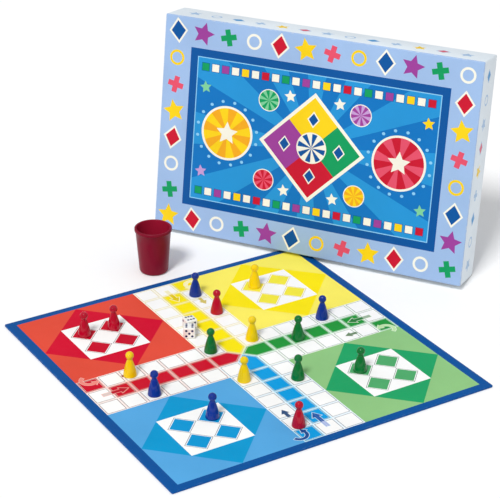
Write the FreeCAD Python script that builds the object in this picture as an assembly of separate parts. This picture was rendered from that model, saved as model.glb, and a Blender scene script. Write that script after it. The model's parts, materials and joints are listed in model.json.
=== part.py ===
import FreeCAD, Part
import math
import os

# A boxed board game for four players, laid out for play: a board that folds in half, sixteen men,
# two dice, a shaker cup and the closed two-piece box standing behind the board.
# Millimetres, +Z up. The origin is the middle of the board's underside, on the table.
# +X runs from the red and blue side of the board to the yellow and green side, +Y from the blue
# and green side to the red and yellow side. The board folds about a crease along Y.

# Board: greyboard core, coloured paper wrapped round the back and edges, printed label on top.
# The border is narrower at the two ends of the crease.
cell = 22.0
cells_across = 15
border = 10.0
border_end = 8.0
core_t = 1.8
wrap_t = 0.2
label_t = 0.2
corner_r = 1.2

# Men: hollow moulded pieces with a ball head on a flared body
man_height = 26.0
man_base_d = 13.4
man_head_d = 8.0
man_neck_d = 5.2
man_neck_len = 1.7
man_bulge = 0.5
man_foot_edge = 0.8
man_wall = 1.4
man_hollow_h = 12.0
man_hollow_tip_d = 2.4

# Places of the men, in cells from the middle of the board
men_places = {
    "red": [(-5.25, 5.1), (-3.8, 5.0), (1.0, 3.9), (-1.05, -6.3)],
    "blue": [(1.0, 5.9), (4.9, 0.95), (-5.0, -1.05), (-3.8, -3.9)],
    "yellow": [(3.85, 5.2), (1.08, 0.9), (-5.15, 0.9), (-1.1, -2.0)],
    "green": [(2.9, -0.1), (-1.08, 0.9), (1.0, -3.05), (3.7, -3.9)],
}

# Dice: rounded cubes with hollowed pips
die_edge = 12.0
die_round = 1.4
pip_d = 2.5
pip_depth = 0.5
pip_step = 3.0

# Pips on three faces of an unturned die, and the sum of two opposite faces
front_count = 5
right_count = 3
top_count = 6
pair_count = 7

# Places of the dice, in cells from the middle of the board, and their turns about Z in degrees
dice_places = {"die_front": (-1.2, 2.6), "die_rear": (-0.84, 3.2)}
dice_turns = {"die_front": -31.5, "die_rear": 85.0}

# Shaker cup: tapered, with a thick lip and a rounded foot
cup_place = (14.0, 205.0)
cup_height = 51.0
cup_rim_d = 40.0
cup_base_d = 30.4
cup_wall = 1.4
cup_floor = 2.0
cup_lip_h = 3.6
cup_lip_out = 1.1
cup_lip_round = 0.9
cup_foot_r = 3.0

# Box: greyboard lid and tray, each with its own paper wrap
box_l = 356.0
box_h = 240.0
box_d = 45.0
box_board = 1.5
box_paper = 0.2
box_fit = 0.6
box_corner_r = 1.2
lid_rim_back = 1.0
wrap_edge = 2.0

# How the box stands: on its long side, leaning back, with its front edge over the board's corner
box_yaw = -54.85
box_lean = 9.0
box_shift = 17.5
seat_gap = 0.2

# What the box holds while the rest is on the table
card_t = 1.0
card_tall = 36.0
card_leg = 15.0
card_end_gap = 0.5
board_room = 2.0
leaflet_w = 210.0
leaflet_h = 148.0
leaflet_t = 0.4

# Worked-out heights and half sizes
label_half = cell * cells_across / 2
board_half = label_half + border
board_end = label_half + border_end
core_top = wrap_t + core_t
edge_z = core_top + wrap_t
play_z = core_top + label_t
LEFT = -1
RIGHT = 1


def at(x, y, z=0.0):
    """A point."""
    return FreeCAD.Vector(x, y, z)


def half_plate(side, half, end, radius, low, high):
    """One half of a plate, from the crease to its outer edge, with rounded outer corners."""
    k = radius * (1 - math.sqrt(0.5))
    x = half - radius
    y = end - radius
    edges = [
        Part.LineSegment(at(0, -end), at(x, -end)),
        Part.Arc(at(x, -end), at(half - k, -end + k), at(half, -y)),
        Part.LineSegment(at(half, -y), at(half, y)),
        Part.Arc(at(half, y), at(half - k, end - k), at(x, end)),
        Part.LineSegment(at(x, end), at(0, end)),
        Part.LineSegment(at(0, end), at(0, -end)),
    ]
    face = Part.Face(Part.Wire([e.toShape() for e in edges]))
    plate = face.extrude(at(0, 0, high - low))
    if side == LEFT:
        plate = plate.mirror(at(0, 0), at(1, 0))
    plate.translate(at(0, 0, low))
    return plate


def square_half(side, half, low, high):
    """One half of a square plate with sharp corners."""
    x0 = 0 if side == RIGHT else -half
    return Part.makeBox(half, 2 * half, high - low, at(x0, -half, low))


def board_core(side):
    """The greyboard inside one half of the board."""
    return half_plate(side, board_half - wrap_t, board_end - wrap_t, corner_r - wrap_t, wrap_t, core_top)


def board_wrap(side):
    """The paper under one half, round its edges and turned in on top as the coloured border."""
    shell = half_plate(side, board_half, board_end, corner_r, 0, edge_z)
    shell = shell.cut(board_core(side))
    return shell.cut(square_half(side, label_half, core_top, edge_z))


def board_label(side):
    """The printed label on one half."""
    return square_half(side, label_half, core_top, play_z)


def revolved(edges):
    """The solid that an outline in the XZ plane makes when it turns about Z."""
    face = Part.Face(Part.Wire([e.toShape() for e in edges]))
    return face.revolve(at(0, 0), at(0, 0, 1), 360)


def man(place):
    """A man standing on the board at a place given in cells."""
    base_r = man_base_d / 2
    head_r = man_head_d / 2
    neck_r = man_neck_d / 2
    head_z = man_height - head_r
    neck_top = head_z - math.sqrt(head_r ** 2 - neck_r ** 2)
    neck_z = neck_top - man_neck_len
    hollow_r = base_r - man_wall
    tip_r = man_hollow_tip_d / 2
    k = man_foot_edge * (1 - math.sqrt(0.5))
    rise = neck_z - man_foot_edge
    run = base_r - neck_r
    slope = math.hypot(rise, run)
    mid_x = (base_r + neck_r) / 2 + man_bulge * rise / slope
    mid_z = (man_foot_edge + neck_z) / 2 + man_bulge * run / slope
    edges = [
        Part.LineSegment(at(hollow_r, 0, 0), at(base_r - man_foot_edge, 0, 0)),
        Part.Arc(at(base_r - man_foot_edge, 0, 0), at(base_r - k, 0, k), at(base_r, 0, man_foot_edge)),
        Part.Arc(at(base_r, 0, man_foot_edge), at(mid_x, 0, mid_z), at(neck_r, 0, neck_z)),
        Part.LineSegment(at(neck_r, 0, neck_z), at(neck_r, 0, neck_top)),
        Part.Arc(at(neck_r, 0, neck_top), at(head_r, 0, head_z), at(0, 0, man_height)),
        Part.LineSegment(at(0, 0, man_height), at(0, 0, man_hollow_h)),
        Part.LineSegment(at(0, 0, man_hollow_h), at(tip_r, 0, man_hollow_h)),
        Part.LineSegment(at(tip_r, 0, man_hollow_h), at(hollow_r, 0, 0)),
    ]
    solid = revolved(edges)
    solid.translate(at(place[0] * cell, place[1] * cell, play_z))
    return solid


def pip_spots(count):
    """Places of the pips on a die's face, in steps from its middle."""
    corners = [(-1, -1), (1, 1), (-1, 1), (1, -1)]
    sides = [(-1, 0), (1, 0)]
    middle = [(0, 0)] if count % 2 else []
    return middle + (corners + sides)[:count - len(middle)]


def die(place, turn):
    """A die on the board, at a place in cells, turned about its upright axis."""
    half = die_edge / 2
    solid = Part.makeBox(die_edge, die_edge, die_edge, at(-half, -half, -half))
    solid = solid.makeFillet(die_round, solid.Edges)
    ball_r = (pip_d ** 2 / 4 + pip_depth ** 2) / (2 * pip_depth)
    reach = half - pip_depth + ball_r
    cuts = []
    for normal, across, along, count in (
        (at(0, -1, 0), at(1, 0, 0), at(0, 0, 1), front_count),
        (at(0, 1, 0), at(1, 0, 0), at(0, 0, 1), pair_count - front_count),
        (at(1, 0, 0), at(0, 1, 0), at(0, 0, 1), right_count),
        (at(-1, 0, 0), at(0, 1, 0), at(0, 0, 1), pair_count - right_count),
        (at(0, 0, 1), at(1, 0, 0), at(0, 1, 0), top_count),
        (at(0, 0, -1), at(1, 0, 0), at(0, 1, 0), pair_count - top_count),
    ):
        for s, t in pip_spots(count):
            cuts.append(Part.makeSphere(ball_r, normal * reach + (across * s + along * t) * pip_step))
    solid = solid.cut(cuts)
    solid.rotate(at(0, 0), at(0, 0, 1), turn)
    solid.translate(at(place[0] * cell, place[1] * cell, play_z + half))
    return solid


def ring_edges(solid, radius, z):
    """The round edges of a turned solid at one radius and height."""
    found = []
    for edge in solid.Edges:
        box = edge.BoundBox
        if abs(box.XMax - radius) < 1e-4 and abs(box.ZMax - z) < 1e-4 and box.ZLength < 1e-4:
            found.append(edge)
    return found


def shaker_cup():
    """The cup, standing on the table beside the board."""
    rim_r = cup_rim_d / 2
    wall_r = rim_r - cup_lip_out
    base_r = cup_base_d / 2
    lip_z = cup_height - cup_lip_h
    taper = (wall_r - base_r) / lip_z
    outline = [
        (0, 0),
        (base_r, 0),
        (wall_r, lip_z),
        (rim_r, lip_z),
        (rim_r, cup_height),
        (wall_r + taper * cup_lip_h - cup_wall, cup_height),
        (base_r + taper * cup_floor - cup_wall, cup_floor),
        (0, cup_floor),
    ]
    points = [at(r, 0, z) for r, z in outline]
    edges = [Part.LineSegment(a, b) for a, b in zip(points, points[1:] + points[:1])]
    cup = revolved(edges)
    cup = cup.makeFillet(cup_foot_r, ring_edges(cup, base_r, 0))
    cup = cup.makeFillet(cup_lip_round, ring_edges(cup, rim_r, cup_height) + ring_edges(cup, rim_r, lip_z))
    cup.translate(at(cup_place[0], cup_place[1]))
    return cup


# The box is drawn in its own frame: X along its length, Y from its front face into it, Z up the face

def slab(inset, y0, y1):
    """A block as long and tall as the box, less an inset on its four sides, from y0 to y1."""
    return Part.makeBox(box_l - 2 * inset, y1 - y0, box_h - 2 * inset, at(inset - box_l / 2, y0, inset))


def rounded_slab(inset, y0, y1, radius, face_y):
    """A slab with its four corners and the edges of its face at face_y rounded."""
    block = slab(inset, y0, y1)
    edges = []
    for edge in block.Edges:
        box = edge.BoundBox
        if box.YLength > 1e-4 or abs(box.YMin - face_y) < 1e-4:
            edges.append(edge)
    return block.makeFillet(radius, edges)


lid_front = box_paper
lid_inside = lid_front + box_board
lid_rim = box_d - lid_rim_back
lid_cavity = box_paper + box_board
tray_outer = lid_cavity + box_fit
tray_side = tray_outer + box_paper
tray_cavity = tray_side + box_board
tray_back = box_d - box_paper
tray_floor = tray_back - box_board
tray_low = tray_cavity
tray_high = box_h - tray_cavity
divider_top = tray_high - board_half - board_room


def box_lid():
    """The lid's greyboard: the front panel and its four walls."""
    block = rounded_slab(box_paper, lid_front, lid_rim, box_corner_r - box_paper, lid_front)
    return block.cut(slab(lid_cavity, lid_inside, lid_rim))


def box_lid_wrap():
    """The printed paper over the lid, stopping short of the rim."""
    paper = rounded_slab(0, 0, lid_rim - wrap_edge, box_corner_r, 0)
    return paper.cut(rounded_slab(box_paper, lid_front, lid_rim, box_corner_r - box_paper, lid_front))


def box_tray():
    """The tray's greyboard: the back panel and its four walls, with the rim against the lid's inside."""
    block = rounded_slab(tray_side, lid_inside, tray_back, box_corner_r - box_paper, tray_back)
    return block.cut(slab(tray_cavity, lid_inside, tray_floor))


def box_tray_wrap():
    """The plain paper round the tray, stopping short of the rim."""
    paper = rounded_slab(tray_outer, lid_inside + wrap_edge, box_d, box_corner_r, box_d)
    return paper.cut(rounded_slab(tray_side, lid_inside, tray_back, box_corner_r - box_paper, tray_back))


def box_divider():
    """A folded card strip in the tray, between the board's bay above and the well for the men below."""
    length = box_l - 2 * (tray_cavity + card_end_gap)
    wall = Part.makeBox(length, card_tall, card_t, at(-length / 2, tray_floor - card_tall, divider_top - card_t))
    leg = Part.makeBox(length, card_t, card_leg, at(-length / 2, tray_floor - card_t, divider_top - card_leg))
    return wall.fuse(leg).removeSplitter()


def rules_leaflet():
    """A folded paper leaflet standing on the divider, against the tray's back panel."""
    return Part.makeBox(leaflet_w, leaflet_t, leaflet_h, at(-leaflet_w / 2, tray_floor - leaflet_t, divider_top))


def box_stand():
    """Where the box stands: its rear rim on the table, its underside just over the board's far corner."""
    lean = math.radians(box_lean)
    turn = FreeCAD.Rotation(at(0, 0, 1), box_yaw).multiply(FreeCAD.Rotation(at(1, 0, 0), -box_lean))
    yaw = math.radians(box_yaw)
    along = at(math.cos(yaw), math.sin(yaw))
    away = at(-math.sin(yaw), math.cos(yaw))
    tip = at(board_half - corner_r, board_end - corner_r)
    tip_away = tip.dot(away) + corner_r
    rear = tip_away + (edge_z + seat_gap + box_paper / math.cos(lean)) / math.tan(lean)
    foot = along * (tip.dot(along) + box_shift) + away * rear
    pivot = turn.multVec(at(0, lid_rim, box_paper))
    return FreeCAD.Placement(foot - pivot, turn)


def build():
    """Every piece by its node's name."""
    pieces = {}
    for side, name in ((LEFT, "left"), (RIGHT, "right")):
        pieces["board_core_" + name] = board_core(side)
        pieces["board_wrap_" + name] = board_wrap(side)
        pieces["board_label_" + name] = board_label(side)
    for colour, places in men_places.items():
        for number, place in enumerate(places, 1):
            pieces["man_%s_%d" % (colour, number)] = man(place)
    for name, place in dice_places.items():
        pieces[name] = die(place, dice_turns[name])
    pieces["shaker_cup"] = shaker_cup()
    stand = box_stand()
    for make in (box_lid, box_lid_wrap, box_tray, box_tray_wrap, box_divider, rules_leaflet):
        solid = make()
        solid.Placement = stand.multiply(solid.Placement)
        pieces[make.__name__] = solid
    return pieces


os.makedirs("parts", exist_ok=True)
for node, shape in build().items():
    solids = shape.Solids
    if not shape.isValid() or len(solids) != 1:
        raise ValueError("%s is not one valid solid" % node)
    solids[0].exportStep("parts/%s.step" % node)
    print("%-20s %10.1f mm3" % (node, shape.Volume))
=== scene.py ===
"""A boxed ludo game laid out for play: folding printed board, men, dice, shaker cup and the lidded box."""
import json
import logging
import math
from dataclasses import dataclass
from enum import Enum
from typing import Callable, ClassVar, Optional, Sequence

import bmesh
import bpy
from mathutils import Matrix, Vector


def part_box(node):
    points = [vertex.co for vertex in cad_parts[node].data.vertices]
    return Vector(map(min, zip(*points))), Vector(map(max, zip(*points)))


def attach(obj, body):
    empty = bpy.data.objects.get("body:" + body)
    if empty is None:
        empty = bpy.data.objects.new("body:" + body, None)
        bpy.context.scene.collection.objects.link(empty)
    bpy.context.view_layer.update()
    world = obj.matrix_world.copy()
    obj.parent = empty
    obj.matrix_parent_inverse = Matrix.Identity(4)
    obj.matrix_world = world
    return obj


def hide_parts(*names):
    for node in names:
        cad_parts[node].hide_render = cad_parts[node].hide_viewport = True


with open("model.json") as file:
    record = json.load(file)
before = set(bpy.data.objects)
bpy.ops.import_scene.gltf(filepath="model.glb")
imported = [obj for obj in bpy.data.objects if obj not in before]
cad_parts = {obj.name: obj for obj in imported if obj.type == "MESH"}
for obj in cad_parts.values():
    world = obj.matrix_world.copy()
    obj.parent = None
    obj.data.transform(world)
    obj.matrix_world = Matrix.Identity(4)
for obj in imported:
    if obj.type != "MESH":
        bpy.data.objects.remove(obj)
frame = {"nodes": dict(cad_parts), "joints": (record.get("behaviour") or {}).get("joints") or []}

logging.basicConfig(level=logging.INFO, format="%(name)s: %(message)s")
log = logging.getLogger("ludo_set")

MM = 0.001
NEAR = 0.01
LEVEL = 0.99
CUT_GAP = 1e-7
WELD_GAP = 1e-6
BUMP_STRENGTH = 0.35
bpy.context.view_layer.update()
Colour = tuple[float, float, float, float]
Point = Sequence[float]
PairTest = Callable[[Vector, Vector], bool]
Outline = list[tuple[float, float]]


def ink_colour(code: str) -> Colour:
    """Turn an sRGB hex code into a linear colour.

    Args:
        code: Six hex digits.

    Returns:
        Linear red, green, blue and alpha.
    """
    parts = [int(code[k:k + 2], 16) / 255 for k in (0, 2, 4)]
    linear = [c / 12.92 if c <= 0.04045 else ((c + 0.055) / 1.055) ** 2.4 for c in parts]
    return (linear[0], linear[1], linear[2], 1.0)


# Shader nodes and finishes

class NodeDesk:
    """Adds nodes to one shader tree and links them."""

    def __init__(self, tree: bpy.types.NodeTree) -> None:
        """Keep the tree to work in."""
        self.tree = tree

    def add(self, kind: str, links: Optional[dict[str | int, object]] = None, **settings: object) -> bpy.types.Node:
        """Add a node.

        Args:
            kind: The node's type name.
            links: Input name or number to an output socket, or to a plain value.
            **settings: Properties of the node itself.

        Returns:
            The new node.
        """
        node = self.tree.nodes.new(kind)
        for key, value in settings.items():
            setattr(node, key, value)
        for key, value in (links or {}).items():
            if isinstance(value, bpy.types.NodeSocket):
                self.tree.links.new(value, node.inputs[key])
            else:
                node.inputs[key].default_value = value
        return node

    def noise(self, place: bpy.types.NodeSocket, scale: float, detail: float = 2.0) -> bpy.types.NodeSocket:
        """Add a noise texture and give its value."""
        return self.add("ShaderNodeTexNoise", {"Vector": place, "Scale": scale, "Detail": detail}).outputs[0]

    def ramp(self, value: bpy.types.NodeSocket, source: Point, target: Point) -> bpy.types.NodeSocket:
        """Map a value from one span to another, held at its ends.

        Args:
            value: The value's socket.
            source: Ends of the span it comes from.
            target: Ends of the span it goes to.

        Returns:
            The mapped value.
        """
        ends = {"Value": value, "From Min": source[0], "From Max": source[1],
                "To Min": target[0], "To Max": target[1]}
        return self.add("ShaderNodeMapRange", ends).outputs[0]

    def math(self, way: str, a: object, b: object = 0.0) -> bpy.types.NodeSocket:
        """Work out one number from two."""
        return self.add("ShaderNodeMath", {0: a, 1: b}, operation=way).outputs[0]

    def vector(self, way: str, a: object, b: Optional[object] = None) -> bpy.types.NodeSocket:
        """Work out one vector from one or two."""
        links = {0: a} if b is None else {0: a, 1: b}
        return self.add("ShaderNodeVectorMath", links, operation=way).outputs[0]

    def scaled(self, colour: bpy.types.NodeSocket, factor: bpy.types.NodeSocket) -> bpy.types.NodeSocket:
        """Multiply a colour by a number."""
        return self.add("ShaderNodeVectorMath", {0: colour, "Scale": factor}, operation="SCALE").outputs[0]

    def blend(self, factor: bpy.types.NodeSocket, a: object, b: object) -> bpy.types.NodeSocket:
        """Mix two colours by a mask."""
        return self.add("ShaderNodeMix", {0: factor, 6: a, 7: b}, data_type="RGBA").outputs[2]


class Effect(Enum):
    """The shared surface effects, each one a shader node group."""

    PAPER_STOCK = "paper_stock"
    EDGE_RUB = "edge_rub"
    MOULDED_SKIN = "moulded_skin"
    BOARD_PULP = "board_pulp"


class EffectShelf:
    """Builds each shared shader node group once and hands it out."""

    made: ClassVar[dict[Effect, bpy.types.NodeTree]] = {}

    @classmethod
    def get(cls, effect: Effect) -> bpy.types.NodeTree:
        """Give an effect's node group, built on its first use.

        Args:
            effect: The effect.

        Returns:
            Its node group.
        """
        if effect not in cls.made:
            cls.made[effect] = getattr(cls, effect.value)()
        return cls.made[effect]

    @staticmethod
    def begin(name: str, inputs: Sequence[tuple[str, str]], outputs: Sequence[tuple[str, str]]
              ) -> "tuple[bpy.types.NodeTree, NodeDesk, bpy.types.NodeOutputs, bpy.types.NodeInputs]":
        """Open a group with named sockets.

        Args:
            name: The group's name.
            inputs: Socket names and kinds going in.
            outputs: Socket names and kinds coming out.

        Returns:
            The tree, a desk to work on it, its input sockets and its output sockets.
        """
        tree = bpy.data.node_groups.new(name, "ShaderNodeTree")
        for sockets, direction in ((inputs, "INPUT"), (outputs, "OUTPUT")):
            for label, kind in sockets:
                tree.interface.new_socket(label, in_out=direction, socket_type="NodeSocket" + kind)
        desk = NodeDesk(tree)
        return tree, desk, desk.add("NodeGroupInput").outputs, desk.add("NodeGroupOutput").inputs

    @classmethod
    def paper_stock(cls) -> bpy.types.NodeTree:
        """Build printed paper: slow mottle of the ink, fine fibre, and a laminate of uneven gloss.

        Returns:
            The node group.
        """
        tree, desk, given, out = cls.begin(
            "paper_stock", [("Vector", "Vector"), ("Ink", "Color"), ("Gloss", "Float")],
            [("Colour", "Color"), ("Roughness", "Float"), ("Height", "Float")])
        mottle = desk.ramp(desk.noise(given["Vector"], 16.0, 3.0), (0.32, 0.68), (0.955, 1.035))
        fibre = desk.noise(given["Vector"], 1500.0, 3.0)
        tone = desk.math("MULTIPLY", mottle, desk.ramp(fibre, (0.3, 0.7), (0.98, 1.02)))
        tree.links.new(desk.scaled(given["Ink"], tone), out["Colour"])
        haze = desk.ramp(desk.noise(given["Vector"], 70.0, 4.0), (0.3, 0.7), (-0.05, 0.07))
        tree.links.new(desk.math("ADD", given["Gloss"], haze), out["Roughness"])
        tree.links.new(fibre, out["Height"])
        return tree

    @classmethod
    def edge_rub(cls) -> bpy.types.NodeTree:
        """Build rubbed edges: a mask where two faces of a box-shaped piece meet, broken up unevenly.

        Returns:
            The node group.
        """
        tree, desk, given, out = cls.begin(
            "edge_rub", [("Vector", "Vector"), ("Half Size", "Vector"), ("Reach", "Vector")],
            [("Mask", "Float")])
        past = desk.vector("SUBTRACT", desk.vector("ABSOLUTE", given["Vector"]), given["Half Size"])
        near = desk.vector("DIVIDE", desk.vector("ADD", past, given["Reach"]), given["Reach"])
        near = desk.vector("MINIMUM", desk.vector("MAXIMUM", near, (0.0, 0.0, 0.0)), (1.0, 1.0, 1.0))
        split = desk.add("ShaderNodeSeparateXYZ", {0: near}).outputs
        pairs = [desk.math("MULTIPLY", split[a], split[b]) for a, b in ((0, 1), (1, 2), (0, 2))]
        edge = desk.math("MAXIMUM", desk.math("MAXIMUM", pairs[0], pairs[1]), pairs[2])
        broken = desk.ramp(desk.noise(given["Vector"], 210.0, 5.0), (0.5, 0.68), (0.0, 0.8))
        tree.links.new(desk.math("MULTIPLY", edge, broken), out["Mask"])
        return tree

    @classmethod
    def moulded_skin(cls) -> bpy.types.NodeTree:
        """Build moulded plastic: faint flow marks in the pigment and fine rubbing in the gloss.

        Returns:
            The node group.
        """
        tree, desk, given, out = cls.begin(
            "moulded_skin", [("Vector", "Vector"), ("Pigment", "Color"), ("Gloss", "Float")],
            [("Colour", "Color"), ("Roughness", "Float"), ("Height", "Float")])
        stretched = desk.vector("MULTIPLY", given["Vector"], (1.0, 1.0, 0.35))
        flow = desk.ramp(desk.noise(stretched, 190.0, 3.0), (0.3, 0.7), (0.93, 1.05))
        tree.links.new(desk.scaled(given["Pigment"], flow), out["Colour"])
        scuff = desk.ramp(desk.noise(given["Vector"], 620.0, 4.0), (0.52, 0.72), (0.0, 0.06))
        tree.links.new(desk.math("ADD", given["Gloss"], scuff), out["Roughness"])
        tree.links.new(desk.noise(given["Vector"], 340.0, 2.0), out["Height"])
        return tree

    @classmethod
    def board_pulp(cls) -> bpy.types.NodeTree:
        """Build uncoated board and card: flecks of fibre on a dull, slightly rough sheet.

        Returns:
            The node group.
        """
        tree, desk, given, out = cls.begin(
            "board_pulp", [("Vector", "Vector"), ("Pulp", "Color")],
            [("Colour", "Color"), ("Roughness", "Float"), ("Height", "Float")])
        fleck = desk.noise(desk.vector("MULTIPLY", given["Vector"], (1.0, 0.3, 1.0)), 1300.0, 4.0)
        cloud = desk.ramp(desk.noise(given["Vector"], 45.0, 3.0), (0.3, 0.7), (0.94, 1.05))
        tone = desk.math("MULTIPLY", desk.ramp(fleck, (0.3, 0.62), (0.82, 1.04)), cloud)
        tree.links.new(desk.scaled(given["Pulp"], tone), out["Colour"])
        tree.links.new(desk.ramp(fleck, (0.3, 0.7), (0.82, 0.95)), out["Roughness"])
        tree.links.new(fleck, out["Height"])
        return tree


class FinishBench:
    """Starts materials and keeps each finish so that it is made once."""

    made: ClassVar[dict[object, bpy.types.Material]] = {}

    @classmethod
    def get(cls, finish: "Finish") -> bpy.types.Material:
        """Give a finish's material, made on its first use.

        Args:
            finish: The finish.

        Returns:
            Its material.
        """
        if finish not in cls.made:
            cls.made[finish] = finish.make()
        return cls.made[finish]

    @staticmethod
    def begin(name: str) -> tuple[bpy.types.Material, NodeDesk, bpy.types.Node, bpy.types.NodeSocket]:
        """Open a material.

        Args:
            name: The material's name.

        Returns:
            The material, a desk on its tree, its Principled node and its Object coordinates.
        """
        material = bpy.data.materials.new(name)
        material.use_nodes = True
        desk = NodeDesk(material.node_tree)
        shader = material.node_tree.nodes["Principled BSDF"]
        return material, desk, shader, desk.add("ShaderNodeTexCoord").outputs["Object"]

    @staticmethod
    def surface(desk: NodeDesk, shader: bpy.types.Node, effect: Effect, given: dict[str, object],
                relief: float) -> "bpy.types.NodeOutputs":
        """Place an effect and feed its roughness and relief to a shader.

        Args:
            desk: The material's desk.
            shader: The Principled node.
            effect: The effect to place.
            given: The effect's own inputs.
            relief: Depth of its relief in mm.

        Returns:
            The effect's outputs by name.
        """
        made = desk.add("ShaderNodeGroup", given, node_tree=EffectShelf.get(effect)).outputs
        desk.tree.links.new(made["Roughness"], shader.inputs["Roughness"])
        shape = {"Height": made["Height"], "Strength": BUMP_STRENGTH, "Distance": relief * MM}
        bump = desk.add("ShaderNodeBump", shape)
        desk.tree.links.new(bump.outputs[0], shader.inputs["Normal"])
        return made


@dataclass(frozen=True)
class RubZone:
    """Where a boxy piece is rubbed: middle, half sizes and reach in metres, and turn in radians."""

    centre: tuple[float, float, float]
    half: tuple[float, float, float]
    reach: tuple[float, float, float]
    turn: tuple[float, float, float] = (0.0, 0.0, 0.0)


@dataclass(frozen=True)
class PrintedPaper:
    """Printed paper under a thin laminate, rubbed to bare paper along its edges where a zone is given."""

    name: str
    ink: str
    gloss: float = 0.48
    shine: float = 0.1
    wear: Optional[RubZone] = None
    bare: str = "E6E1D6"
    relief: float = 0.012

    def make(self) -> bpy.types.Material:
        """Build the material.

        Returns:
            The material.
        """
        material, desk, shader, place = FinishBench.begin(self.name)
        given = {"Vector": place, "Ink": ink_colour(self.ink), "Gloss": self.gloss}
        colour = FinishBench.surface(desk, shader, Effect.PAPER_STOCK, given, self.relief)["Colour"]
        if self.wear is not None:
            zone, group = self.wear, EffectShelf.get(Effect.EDGE_RUB)
            turned = {"Vector": place, "Location": zone.centre, "Rotation": zone.turn}
            own = desk.add("ShaderNodeMapping", turned, vector_type="TEXTURE").outputs[0]
            span = {"Vector": own, "Half Size": zone.half, "Reach": zone.reach}
            rub = desk.add("ShaderNodeGroup", span, node_tree=group).outputs["Mask"]
            colour = desk.blend(rub, colour, ink_colour(self.bare))
        desk.tree.links.new(colour, shader.inputs["Base Color"])
        shader.inputs["Specular IOR Level"].default_value = self.shine
        return material


@dataclass(frozen=True)
class RawBoard:
    """Uncoated greyboard, card or leaflet paper."""

    name: str
    pulp: str
    relief: float = 0.12

    def make(self) -> bpy.types.Material:
        """Build the material.

        Returns:
            The material.
        """
        material, desk, shader, place = FinishBench.begin(self.name)
        given = {"Vector": place, "Pulp": ink_colour(self.pulp)}
        made = FinishBench.surface(desk, shader, Effect.BOARD_PULP, given, self.relief)
        desk.tree.links.new(made["Colour"], shader.inputs["Base Color"])
        return material


@dataclass(frozen=True)
class MouldedPlastic:
    """Injection-moulded plastic."""

    name: str
    pigment: str
    gloss: float = 0.06
    coat: float = 0.2
    shine: float = 0.25
    relief: float = 0.012
    coat_haze: float = 0.03

    def make(self) -> bpy.types.Material:
        """Build the material.

        Returns:
            The material.
        """
        material, desk, shader, place = FinishBench.begin(self.name)
        given = {"Vector": place, "Pigment": ink_colour(self.pigment), "Gloss": self.gloss}
        made = FinishBench.surface(desk, shader, Effect.MOULDED_SKIN, given, self.relief)
        desk.tree.links.new(made["Colour"], shader.inputs["Base Color"])
        shader.inputs["Specular IOR Level"].default_value = self.shine
        shader.inputs["Coat Weight"].default_value = self.coat
        shader.inputs["Coat Roughness"].default_value = self.coat_haze
        return material


Finish = PrintedPaper | RawBoard | MouldedPlastic


# Modelling

def every(middle: Vector, normal: Vector) -> bool:
    """Pass every face."""
    return True


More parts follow.
